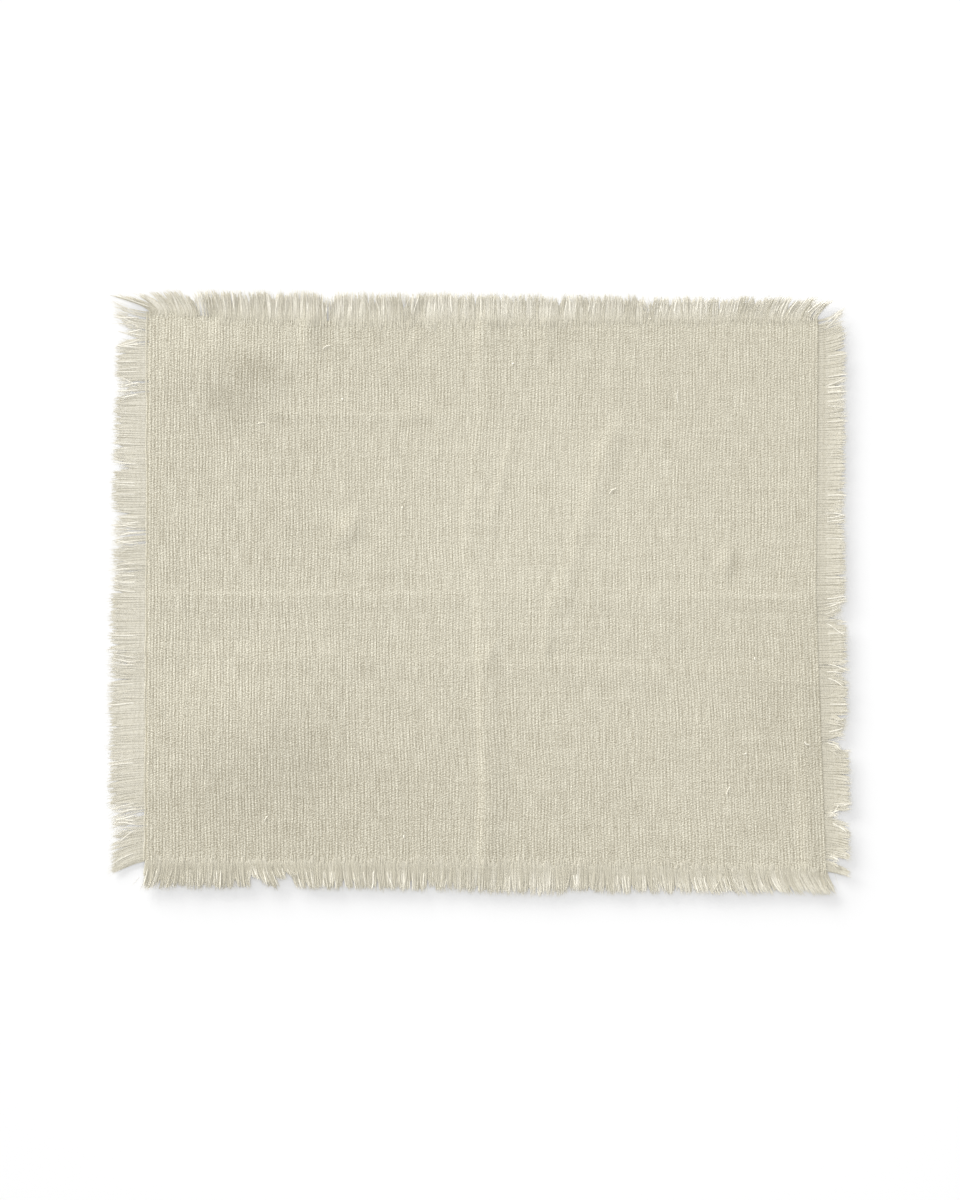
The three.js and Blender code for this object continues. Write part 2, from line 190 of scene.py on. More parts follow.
# What looseness does, from matted to loose: how much is cut off locks, how much locks and strands lean
# apart, how much the ends of strands differ, how much locks narrow, or fan out below 0, how much the tones
# and the heights of yarns differ, and how much paler they are
LOOSENESS = {
    "at": (0, 0.4, 1),
    "cut": (0.1, 0.8, 1),
    "leans": (0.35, 1, 1.8),
    "ends": (0.4, 1, 1.5),
    "narrows": (-0.1, 0, -0.35),
    "contrast": (0.45, 1, 1.6),
    "round": (0.6, 1, 1.6),
    "paler": (0, 0, 0.17),
}

# Creases: soft ridges that run along X or Y, with the place of the crest on the other axis,
# and how far they spread before the crest, on its left or near side, and past it
CREASES = {
    "centre fold": {
        "runs": "y", "before": 6, "past": 16,
        "at": (-175, -120, -50, 0, 15, 40, 60, 110, 150, 176),
        "line": (3, 3, 2, -1, -6, -8, -3, 1, 1, 3),
        "height": (0.45, 0.42, 0.3, 0.2, 0.2, 0.2, 0.12, 0.1, 0.22, 0.7),
    },
    "cross fold": {
        "runs": "x", "before": 14, "past": 8,
        "at": (-207, -60, 0, 60, 208), "line": (-4, -4, -3, -4, -4),
        "height": (0.14, 0.12, 0.05, 0.08, 0.14),
    },
    "slanting fold": {
        "runs": "y", "before": 9, "past": 14,
        "at": (-42, -20, 20, 60, 98, 108), "line": (38, 42, 58, 70, 82, 84),
        "height": (0, 0.2, 0.2, 0.25, 0.32, 0),
    },
    "right edge fold": {
        "runs": "y", "before": 9, "past": 9,
        "at": (-176, -4), "line": (202, 199), "height": (0.35, 0),
    },
    "left pucker": {
        "runs": "y", "before": 9, "past": 9,
        "at": (138, 176), "line": (-107, -107), "height": (0, 0.8),
    },
    "right pucker": {
        "runs": "y", "before": 9, "past": 9,
        "at": (138, 176), "line": (42, 42), "height": (0, 0.5),
    },
    "upper cross crease": {
        "runs": "x", "before": 7, "past": 4,
        "at": (-150, -130, -30, -10), "line": (111, 111, 110, 110), "height": (0, 0.16, 0.16, 0),
    },
    "second slanting fold": {
        "runs": "y", "before": 5, "past": 9,
        "at": (30, 50, 84, 100), "line": (4, 8, 18, 20), "height": (0, 0.18, 0.18, 0),
    },
    "corner pucker": {
        "runs": "y", "before": 9, "past": 9,
        "at": (150, 176), "line": (-162, -162), "height": (0, 0.4),
    },
    "faint far fold": {
        "runs": "y", "before": 5, "past": 5,
        "at": (122, 134, 160, 172), "line": (-67, -58, -37, -28), "height": (0, 0.12, 0.12, 0),
    },
    "lower ripple": {
        "runs": "x", "before": 14, "past": 8,
        "at": (-207, 208), "line": (-37, -55), "height": (0.12, 0.16),
    },
}

# Swells: low rounded rises of the cloth, each an ellipse turned about the vertical
SWELLS = {
    "far left": {"x": -165, "y": 140, "half_long": 60, "half_short": 42, "turn": -20, "height": 1.2},
    "near left": {"x": -148, "y": -86, "half_long": 80, "half_short": 64, "turn": 15, "height": 1.2},
    "left pinch": {"x": -83, "y": 38, "half_long": 17, "half_short": 11, "turn": 55, "height": 0.55},
    "middle pinch": {"x": 7, "y": -38, "half_long": 12, "half_short": 6, "turn": 70, "height": 0.3},
    "second pinch": {"x": 42, "y": -36, "half_long": 12, "half_short": 6, "turn": 80, "height": 0.25},
    "right pinch": {"x": 153, "y": 18, "half_long": 18, "half_short": 8, "turn": 80, "height": 0.3},
}

# Painted light and shade: soft patches where the cloth's colour is a little darker, as painted shade on its
# dips, puckers, slopes, near side and right edge, or paler where the value is above 0, as painted light on
# its middle and on the pressed creases
PAINTED_LIGHT_AND_SHADE = {
    "far left dip": {"x": -140, "y": 139, "half_wide": 22, "half_high": 17, "value": -0.2},
    "left of the dip": {"x": -158, "y": 120, "half_wide": 26, "half_high": 40, "value": -0.07},
    "near left": {"x": -135, "y": -130, "half_wide": 150, "half_high": 105, "value": -0.06},
    "near left spot": {"x": -106, "y": -112, "half_wide": 26, "half_high": 32, "value": -0.025},
    "near": {"x": -20, "y": -190, "half_wide": 280, "half_high": 150, "value": -0.06},
    "right spot": {"x": 159, "y": 15, "half_wide": 6, "half_high": 14, "value": -0.1},
    "near right": {"x": 196, "y": -90, "half_wide": 70, "half_high": 110, "value": -0.08},
    "right edge": {"x": 211, "y": -75, "half_wide": 5, "half_high": 80, "value": -0.08},
    "upper middle": {"x": 40, "y": 50, "half_wide": 150, "half_high": 110, "value": 0.05},
    "middle": {"x": 5, "y": 0, "half_wide": 70, "half_high": 70, "value": 0.03},
    "painted light on left pressed line": {"x": -130, "y": -2, "half_wide": 100, "half_high": 2.2, "value": 0.05},
    "painted light on first pressed dash": {"x": -160, "y": -2, "half_wide": 22, "half_high": 2.4, "value": 0.08},
    "painted light on second pressed dash": {"x": -95, "y": -1, "half_wide": 18, "half_high": 2.4, "value": 0.08},
    "painted light on third pressed dash": {"x": -46, "y": -1, "half_wide": 20, "half_high": 2.4, "value": 0.08},
    "painted light on right pressed line": {"x": 130, "y": -3, "half_wide": 110, "half_high": 2.2, "value": 0.05},
    "painted light on fourth pressed dash": {"x": 180, "y": -4, "half_wide": 34, "half_high": 2.6, "value": 0.1},
    "painted light on upper pressed line": {"x": -80, "y": 110, "half_wide": 60, "half_high": 2, "value": 0.06},
    "left pucker shade": {"x": -97, "y": 160, "half_wide": 9, "half_high": 16, "value": -0.09},
    "right pucker shade": {"x": 52, "y": 160, "half_wide": 8, "half_high": 16, "value": -0.07},
}

# Where the painted light and shade of the ribs and the uneven tones of the weave have less contrast: in a
# wide patch, and to the right, where the ribs get flatter
CALMER_WEAVE = {"x": 110, "y": 90, "half_wide": 300, "half_high": 260, "value": -0.13}
WEAVE_CONTRAST = {"at": RIBS_FLATTER["at"], "value": (1.06, 0.96)}

# Which way each side runs and faces, the sides it starts and ends at, and what its unevenness grows from
SIDES = {
    "far": {"along": (1, 0), "outward": (0, 1), "first": "left", "last": "right", "seed": 11},
    "near": {"along": (1, 0), "outward": (0, -1), "first": "left", "last": "right", "seed": 23},
    "left": {"along": (0, 1), "outward": (-1, 0), "first": "near", "last": "far", "seed": 37},
    "right": {"along": (0, 1), "outward": (1, 0), "first": "near", "last": "far", "seed": 51},
}

# The yarns of each side: how many leave the cloth, how many strands each frays into, how loose they are at
# least, how far inside the cloth's edge they surface, as a share of a lock's length, how high their roots
# and those of the mat below them lie there, how far their tips lift, how round they are, how much their
# tones differ, how much paler their tips are, and the share of the fringe's tone that they have at the cloth
YARNS = {
    "far": {
        "count": RIB_COUNT, "frays": 3, "loose": 0.2, "inside": (0.02, 0.4),
        "root_z": (1.16, 1.27), "mat_z": (1.0, 1.1), "tip_z": 0,
        "round": 1.0, "contrast": 1.6, "tip_tone": 0.25, "root_tone": 0.05,
    },
    "near": {
        "count": RIB_COUNT, "frays": 3, "loose": 0.2, "inside": (0.02, 0.4),
        "root_z": (1.16, 1.27), "mat_z": (1.0, 1.1), "tip_z": 0.4,
        "round": 0.9, "contrast": 1.4, "tip_tone": 0.35, "root_tone": 0.05,
    },
    "left": {
        "count": CROSS_YARN_COUNT, "frays": 2, "loose": 0.05, "inside": (0.08, 0.12),
        "root_z": (0.5, 0.65), "mat_z": (0.4, 0.55), "tip_z": 0,
        "round": 0.18, "contrast": 0.28, "tip_tone": 0.1, "root_tone": 0.8,
    },
    "right": {
        "count": CROSS_YARN_COUNT, "frays": 2, "loose": 0.05, "inside": (0.08, 0.12),
        "root_z": (0.95, 1.05), "mat_z": (0.85, 0.95), "tip_z": 1.0,
        "round": 0.14, "contrast": 0.18, "tip_tone": 0.15, "root_tone": 0.7,
    },
}

# The strands of a yarn, which start inside the cloth's edge and lie a little apart, and how far yarns bend
YARN = {
    "half_width": 0.4, "height": 0.13, "across": 6, "steps": 10,
    "ends": (0.82, 1.06), "often": (1, 1, 0.5), "root": "root_z", "rest_z": (0.7, 1.0),
    "curl": 1.5, "lean": 0.6, "strays": 2.8, "wave": 0.35, "apart": 0.58,
}
YARN_BEND = 0.7

# How far the tones of whole yarns, of the strands of a yarn and of whole locks go up or down
YARN_TONES = 0.3
STRAND_TONES = 0.12
LOCK_TONES = 0.11

# Other strands, by kind. Across and steps count the points of a strand, and starts and ends are shares of a
# lock's length, which may pass its tip. How often they are there goes with looseness. Most strands lean a
# little to one side of their lock, and the strays further. The tone is added to that of the fringe.
STRAND_KINDS = {
    "mat": {
        "per_lock": 6, "half_width": 1.1, "height": 0.1, "across": 6, "steps": 7,
        "starts": -0.02, "ends": (0.6, 1.0), "often": (1, 1, 0.25), "root": "mat_z", "rest_z": (0.5, 0.75),
        "curl": 0.5, "lean": 0.35, "strays": 0.35, "wave": 0.3, "tone": (-0.2, 0.05),
    },
    "over": {
        "per_lock": 2, "half_width": 0.36, "height": 0.25, "across": 5, "steps": 7,
        "starts": 0.3, "ends": (0.92, 1.1), "often": (0.1, 0.5, 1), "root": "root_z", "rest_z": (0.9, 1.2),
        "curl": 1.5, "lean": 1.2, "strays": 3.4, "wave": 0.6, "tone": (0.3, 0.75),
    },
    "wisp": {
        "per_lock": 20, "half_width": 0.09, "height": 0.12, "across": 3, "steps": 4,
        "starts": 0.6, "ends": (0.95, 1.14), "often": (0.15, 1, 1), "root": "root_z", "rest_z": (0.7, 1.2),
        "curl": 1.5, "lean": 1.1, "strays": 2.4, "wave": 0.6, "tone": (0, 0.5),
    },
    "hair": {
        "per_lock": 6, "half_width": 0.08, "height": 0.12, "across": 3, "steps": 7,
        "starts": -0.05, "ends": (0.8, 1.12), "often": (0.2, 1, 1), "root": "root_z", "rest_z": (0.9, 1.4),
        "curl": 1.5, "lean": 1.1, "strays": 3.0, "wave": 1.1, "tone": (0, 0.5),
    },
}

# Strands of all kinds: the share of strays, how far roots are from even places, how thick a strand is along
# it and against others, its waves and their turns, how much locks narrow, and how much deeper roots start
STRAY_SHARE = 0.15
ROOT_STRAYS = 0.4
THICK_ALONG = {"at": (0, 0.08, 0.75, 0.9, 1), "share": (0.7, 1, 0.95, 0.75, 0.25)}
THICKNESSES = (0.8, 1.15)
WAVES = (0.2, 1)
WAVE_TURNS = (0.4, 1.5)
LOCK_NARROWS = (-0.1, 0.35)
DEEPER_START = 0.2

# Tone of strands at the cloth, the shares of a lock's length by which they have the fringe's tone and their
# own unevenness in full, and the least share of that unevenness
CLOTH_TONE = 0.08
PALER_BY = 0.3
UNEVEN_BY = 0.45
LEAST_UNEVEN = 0.2

# How strands bend: the powers of the way along a lock by which it narrows, it leans, its strands lean and
# the cloth's lift fades, and the way along it at which strands are half settled from roots to rest
NARROWING_POWER = 1.4
LOCK_LEAN_POWER = 1.55
STRAND_LEAN_POWER = 1.8
LIFT_FADING_POWER = 1.3
HALF_SETTLED_AT = 0.5

# The outermost lengthwise yarn, which lies a little apart from the cloth and holds the crosswise ones. It is
# placed and thickened unevenly by two rows of one noise, with cells of these lengths.
EDGE_YARN = {
    "side": "left", "gap": 0.6, "half_width": 0.6, "height": 0.2, "under_z": 0.6, "across": 8, "step": 2.5,
    "wander": 0.45, "wander_long": 9, "wander_row": 0, "uneven": 0.2, "uneven_long": 5, "uneven_row": 9,
    "tone": 0.02,
}

# Slubs and loose ends of yarn on the cloth: where their middles are, how long they are, which way they turn,
# how far they bow, and half their width
SLUBS = (
    {"x": -96, "y": 152, "long": 6, "turn": 25, "bow": 0.9, "half_width": 0.32},
    {"x": -86, "y": 119.5, "long": 1.8, "turn": 70, "bow": 0, "half_width": 0.45},
    {"x": -48.5, "y": 51.5, "long": 1.8, "turn": 80, "bow": 0, "half_width": 0.4},
    {"x": 20.5, "y": 142, "long": 1.6, "turn": 45, "bow": 0, "half_width": 0.42},
    {"x": 123, "y": 121, "long": 9, "turn": 90, "bow": 0.2, "half_width": 0.28},
    {"x": 82.5, "y": 61.5, "long": 6, "turn": 40, "bow": 1.0, "half_width": 0.28},
    {"x": -131.5, "y": -141, "long": 4.5, "turn": 60, "bow": 0.5, "half_width": 0.26},
    {"x": -47, "y": -152, "long": 2, "turn": 100, "bow": 0, "half_width": 0.4},
    {"x": 170, "y": -42.5, "long": 2.4, "turn": 100, "bow": 0.3, "half_width": 0.42},
    {"x": 201.5, "y": -94.5, "long": 4, "turn": 150, "bow": 0.9, "half_width": 0.4},
    {"x": 153, "y": -124, "long": 6, "turn": 70, "bow": 0.9, "half_width": 0.26},
    {"x": 163.5, "y": -101, "long": 1.6, "turn": 30, "bow": 0, "half_width": 0.4},
    {"x": -136.5, "y": 104, "long": 6, "turn": 5, "bow": 0.6, "half_width": 0.26},
)
SLUB = {"height": 0.2, "across": 6, "steps": 9, "thin_end": 0.2, "tone": 0.75}

# Repeatable unevenness: how many cells the noise has each way, and the terms of a run of uneven numbers
NOISE_CELLS = 64
UNEVEN_FACTOR = 1664525
UNEVEN_STEP = 1013904223
UNEVEN_RANGE = 2**32


# Shape of the cloth

def hill(distance):
    """A rounded hill: 1 at its middle, flat at a distance of 1 and beyond."""
    return np.where(distance < 1, (1 + np.cos(np.pi * np.minimum(distance, 1))) / 2, 0)


def read(table, at, name):
    """A named column of a table, read at places between its rows."""
    return np.interp(at, table["at"], table[name])


def crease_lift(crease, x, y):
    """How high a crease lifts the cloth."""
    at, beside = (y, x) if crease["runs"] == "y" else (x, y)
    away = beside - read(crease, at, "line")
    spread = np.where(away < 0, crease["before"], crease["past"])
    return read(crease, at, "height") * hill(np.abs(away) / spread)


def swell_lift(swell, x, y):
    """How high a swell lifts the cloth."""
    turn = math.radians(swell["turn"])
    dx = x - swell["x"]
    dy = y - swell["y"]
    long = dx * math.cos(turn) + dy * math.sin(turn)
    short = dy * math.cos(turn) - dx * math.sin(turn)
    return swell["height"] * hill(np.hypot(long / swell["half_long"], short / swell["half_short"]))


def lift(x, y):
    """How high the underside of the cloth stands off the table."""
    folds = sum(crease_lift(crease, x, y) for crease in CREASES.values())
    return folds + sum(swell_lift(swell, x, y) for swell in SWELLS.values())


def soft_noise(u, v, seed):
    """Smooth uneven values between -1 and 1, over cells one unit wide."""
    cells = np.random.default_rng(seed).uniform(-1, 1, (NOISE_CELLS, NOISE_CELLS))
    first_u = np.floor(u).astype(int)
    first_v = np.floor(v).astype(int)
    share_u = (1 - np.cos(np.pi * (u - first_u))) / 2
    share_v = (1 - np.cos(np.pi * (v - first_v))) / 2

    def corner(du, dv):
        return cells[(first_u + du) % NOISE_CELLS, (first_v + dv) % NOISE_CELLS]

    low = corner(0, 0) * (1 - share_u) + corner(1, 0) * share_u
    high = corner(0, 1) * (1 - share_u) + corner(1, 1) * share_u
    return low * (1 - share_v) + high * share_v


def rib_noise(name, rib, y):
    noise = RIB_NOISE[name]
    return noise["adds"] * soft_noise(rib * noise["cells"], y / noise["long"], noise["seed"])


# Meshes

def new_piece(name, points, rounded, flat, notes, material):
    """An object from points in millimetres and two lists of arrays of faces, shaded rounded and flat."""
    faces = [*rounded, *flat]
    corners = np.concatenate([group.ravel() for group in faces])
    sizes = np.concatenate([np.full(len(group), group.shape[1]) for group in faces])
    smooth = np.arange(len(sizes)) < sum(len(group) for group in rounded)
    mesh = bpy.data.meshes.new(name)
    mesh.vertices.add(len(points))
    mesh.vertices.foreach_set("co", (points * MM).astype(np.float32).ravel())
    mesh.loops.add(len(corners))
    mesh.loops.foreach_set("vertex_index", corners.astype(np.int32))
    mesh.polygons.add(len(sizes))
    mesh.polygons.foreach_set("loop_start", (np.cumsum(sizes) - sizes).astype(np.int32))
    mesh.polygons.foreach_set("use_smooth", smooth)
    mesh.update(calc_edges=True)
    edges = np.empty(len(corners), np.int32)
    mesh.loops.foreach_get("edge_index", edges)
    sharp = np.zeros(len(mesh.edges), bool)
    sharp[edges[sum(group.size for group in rounded):]] = True
    mesh.edges.foreach_set("use_edge_sharp", sharp)
    for attribute, values in notes.items():
        data = mesh.attributes.new(attribute, "FLOAT_VECTOR", "POINT").data
        data.foreach_set("vector", values.astype(np.float32).ravel())
    mesh.materials.append(material)
    piece = bpy.data.objects.new(name, mesh)
    bpy.context.scene.collection.objects.link(piece)
    return piece


def grid_faces(numbers):
    """The quads of a grid of points, facing up if its first index runs along X and its second along Y."""
    return np.stack(
        [numbers[:-1, :-1], numbers[1:, :-1], numbers[1:, 1:], numbers[:-1, 1:]], axis=-1
    ).reshape(-1, 4)


def cloth_plan(column_share, row_share):
    """Where the cloth's points lie, by their share of the way across and of the way from near to far."""
    across, along = np.meshgrid(column_share, row_share, indexing="ij")
    straight_x = (across - 0.5) * 2 * OUTLINE["right"]["out"][1]
    near_y = -read(OUTLINE["near"], straight_x, "out")
    far_y = read(OUTLINE["far"], straight_x, "out")
    y = near_y + (far_y - near_y) * along
    left_x = -read(OUTLINE["left"], y, "out")
    x = left_x + (read(OUTLINE["right"], y, "out") - left_x) * across
    return x, y


def shift_to_frame():
    """The tables start from the cloth's centre lines, and the frame from the middle of the whole napkin."""
    shares = np.linspace(0, 1, PLAN_STEPS + 1)
    x, y = cloth_plan(shares, shares)
    low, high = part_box("cloth")
    planned = Vector((x.min() + x.max(), y.min() + y.max(), 0)) * MM / 2
    return Vector(((low.x + high.x) / 2, (low.y + high.y) / 2, 0)) - planned


def make_cloth(material):
    """The woven panel, with its ribs and folds on top and a plain underside."""
    per_rib = len(RIB_PROFILE)
    columns = RIB_COUNT * per_rib
    step = np.arange(columns + 1)
    x, y = cloth_plan(step / columns, np.linspace(0, 1, CLOTH_ROWS + 1))
    rib = (step / per_rib)[:, None]

    full = RIB_FULLNESS + rib_noise("fullness", rib, y) + rib_noise("fine fullness", rib, y)
    full = full * read(RIBS_FLATTER, x, "share")
    profile = np.array(RIB_PROFILE)[step % per_rib][:, None]
    from_edge = np.minimum(step, columns - step) / (per_rib * RIBS_TO_FULL_WANDER)
    wander = rib_noise("wander", rib, y) + rib_noise("long wander", rib, y)
    wander = wander * np.minimum(1, from_edge)[:, None]
    ragged = rib_noise("ragged edge", rib[:, 0], 0)
    edge = np.zeros_like(y)
    edge[:, 0] = -ragged
    edge[:, -1] = ragged
    raised = CLOTH_THICK + RIB_HEIGHT * profile * full
    top = np.stack([x + wander, y + edge, lift(x, y) + raised], axis=-1)

    low_x, low_y, low_edge = (part[::per_rib, ::ROWS_PER_UNDERSIDE_ROW] for part in (x, y, edge))
    under = np.stack([low_x, low_y + low_edge, lift(low_x, low_y)], axis=-1)

    numbers = np.arange(top.size // 3).reshape(top.shape[:2])
    low_numbers = numbers.size + np.arange(under.size // 3).reshape(under.shape[:2])
    sheets = [grid_faces(numbers), grid_faces(low_numbers)[:, ::-1]]
    walls = []
    borders = (
        (numbers[:, 0], low_numbers[:, 0], per_rib, False),
        (numbers[:, -1], low_numbers[:, -1], per_rib, True),
        (numbers[0, :], low_numbers[0, :], ROWS_PER_UNDERSIDE_ROW, True),
        (numbers[-1, :], low_numbers[-1, :], ROWS_PER_UNDERSIDE_ROW, False),
    )
    for high, low, width, turned in borders:
        starts = np.arange(0, len(high) - 1, width)
        wall = np.stack([low[:-1], low[1:], *[high[starts + width - k] for k in range(width + 1)]], axis=-1)
        walls.append(wall[:, ::-1] if turned else wall)

    points = np.concatenate([top.reshape(-1, 3), under.reshape(-1, 3)])
    along_ribs = np.concatenate([
        np.stack([np.broadcast_to(rib, x.shape), y, x], axis=-1).reshape(-1, 3),
        np.stack([np.broadcast_to(rib[::per_rib], low_x.shape), low_y, low_x], axis=-1).reshape(-1, 3),
    ])
    return new_piece("woven_cloth", points, sheets, walls, {"weave": along_ribs}, material)


# Fringe

def make_uneven(seed):
    """A repeatable run of uneven numbers between -1 and 1."""
    state = seed

    def following():
        nonlocal state
        state = (state * UNEVEN_FACTOR + UNEVEN_STEP) % UNEVEN_RANGE
        return state / UNEVEN_RANGE * 2 - 1

    return following


def side_ends(side):
    """The ends of a side's edge, where the edges of its two neighbours cross it."""
    beside = sum(SIDES[side]["outward"]) * OUTLINE[side]["out"][1]
    first = OUTLINE[SIDES[side]["first"]]
    last = OUTLINE[SIDES[side]["last"]]
    return -read(first, beside, "out"), read(last, beside, "out")


def parting_at(side, at):
    """What the partings of a side add to a lock's lean, up to twice their reach, and take off its length."""
    push = 0
    shorter = 0
    for parting in PARTINGS[side]:
        away = at - parting["at"]
        push += np.sign(away) * parting["push"] * hill(abs(away) / (2 * parting["reach"]))
        shorter += parting["shorter"] * hill(abs(away) / parting["reach"])
    return push, shorter


def loose_at(side, at):
    """How loose the fringe is at a place: 0 where it is matted and cut straight, 1 where yarns lie apart."""
    loose = np.full(np.shape(at), YARNS[side]["loose"])
    for place in LOOSE_PLACES[side]:
        near = np.minimum(1, 2 * hill(np.abs(at - place["at"]) / place["reach"]))
        loose = np.maximum(loose, place["loose"] * near)
    return loose


def make_locks(side):
    """The locks of one side: where each springs, how wide it is, how far it leans and where its tip is."""
    uneven = make_uneven(SIDES[side]["seed"])
    start, end = side_ends(side)
    pitch = (end - start) / LOCKS[side]
    inner = [start + pitch * (lock + LOCK_UNEVEN_PITCH * uneven()) for lock in range(1, LOCKS[side])]
    breaks = np.array([start, *inner, end])
    at = (breaks[:-1] + breaks[1:]) / 2
    lean = np.zeros(len(at))
    tip = np.zeros(len(at))
    for lock, place in enumerate(at):
        push, shorter = parting_at(side, place)
        loose = loose_at(side, place)
        lean[lock] = read(FRINGE[side], place, "lean") + push
        lean[lock] += LOCK_UNEVEN_LEAN * uneven() * read(LOOSENESS, loose, "leans")
        cut = LOCK_SHORTER_BY * (1 + uneven()) / 2
        if uneven() > 1 - 2 * CUT_LOCK_SHARE:
            cut += CUT_LOCK_SHORTER_BY * (1 + uneven()) / 2
        cut *= read(LOOSENESS, loose, "cut")
        tip[lock] = read(FRINGE[side], place, "tip") - shorter - cut
    return {"breaks": breaks, "at": at, "lean": lean, "tip": tip}


def side_point(side, at, out, z):
    """Points by how far along a side and how far out of the middle they are, and by their height."""
    along = SIDES[side]["along"]
    outward = SIDES[side]["outward"]
    return np.stack([at * along[0] + out * outward[0], at * along[1] + out * outward[1], z], axis=-1)


def column(values):
    """Values that each hold for a whole row of others."""
    return np.asarray(values)[:, None]


def strand_paths(side, locks, strands, share):
    """Lines of points for strands that follow their locks. Share is how far along its lock each point is."""
    lock_at = column(locks["at"][strands["lock"]])
    root_at = column(strands["root_at"])
    root_out = read(OUTLINE[side], root_at, "out")
    beyond = np.clip(share, 0, None)
    narrow = 1 - column(locks["narrows"][strands["lock"]]) * beyond**NARROWING_POWER
    turns = share * column(strands["turns"]) + column(strands["phase"])
    wave = column(strands["wave"]) * np.sin(2 * np.pi * turns)
    at = (
        lock_at
        + (root_at - lock_at) * narrow
        + column(locks["lean"][strands["lock"]]) * beyond**LOCK_LEAN_POWER
        + column(strands["lean"]) * beyond**STRAND_LEAN_POWER
        + wave * beyond
    )
    out = root_out + (column(locks["tip"][strands["lock"]]) - root_out) * share
    edge = side_point(side, root_at, root_out, root_at * 0)
    settle = beyond / (beyond + HALF_SETTLED_AT)
    z = lift(edge[..., 0], edge[..., 1]) * (1 - np.clip(share, 0, 1)) ** LIFT_FADING_POWER
    z = z + column(strands["root_z"]) * (1 - settle) + column(strands["rest_z"]) * settle
    z = z + (column(strands["curl"]) + YARNS[side]["tip_z"]) * beyond**2
    return side_point(side, at, out, z)


def ribbons(paths, half_width, height, across):
    """The points and faces of strands with a flat underside, where their paths run, and a rounded top."""
    count, steps = paths.shape[:2]
    tangent = np.gradient(paths, axis=1)
    tangent /= np.linalg.norm(tangent, axis=-1, keepdims=True)
    beside = np.cross(tangent, (0.0, 0.0, 1.0))
    beside /= np.linalg.norm(beside, axis=-1, keepdims=True)
    above = np.cross(beside, tangent)
    turn = np.linspace(0, np.pi, across)
    ring = (
        paths[:, :, None]
        + (half_width[..., None] * np.cos(turn))[..., None] * beside[:, :, None]
        + (height[..., None] * np.sin(turn))[..., None] * above[:, :, None]
    )
    numbers = np.arange(count * steps * across).reshape(count, steps, across)
    following = np.roll(numbers, -1, axis=2)
    walls = np.stack([numbers[:, :-1], numbers[:, 1:], following[:, 1:], following[:, :-1]], axis=-1)
    top = walls[:, :, :-1].reshape(-1, 4)
    under = walls[:, :, -1].reshape(-1, 4)
    caps = np.concatenate([numbers[:, 0, :], numbers[:, -1, ::-1]])
    return ring.reshape(-1, 3), [top], [under, caps]


def join_ribbons(parts):
    """Puts several sets of strands together, each with its points, faces and what its material reads."""
    points, rounded, flat, notes = [], [], [], []
    first = 0
    for part_points, part_rounded, part_flat, part_notes in parts:
        points.append(part_points)
        rounded.extend(group + first for group in part_rounded)
        flat.extend(group + first for group in part_flat)
        notes.append(part_notes)
        first += len(part_points)
    return np.concatenate(points), rounded, flat, np.concatenate(notes)


def strand_notes(paths, tone, across):
    """What the yarn's material reads at each point: the strand's tone, and the way along it and round it."""
    step = np.linalg.norm(np.diff(paths, axis=1), axis=-1)
    along = np.concatenate([np.zeros((len(paths), 1)), np.cumsum(step, axis=1)], axis=1)
    shape = (*along.shape, across)
    parts = (tone[..., None], along[..., None], np.arange(across) / across)
    return np.stack([np.broadcast_to(part, shape) for part in parts], axis=-1).reshape(-1, 3)


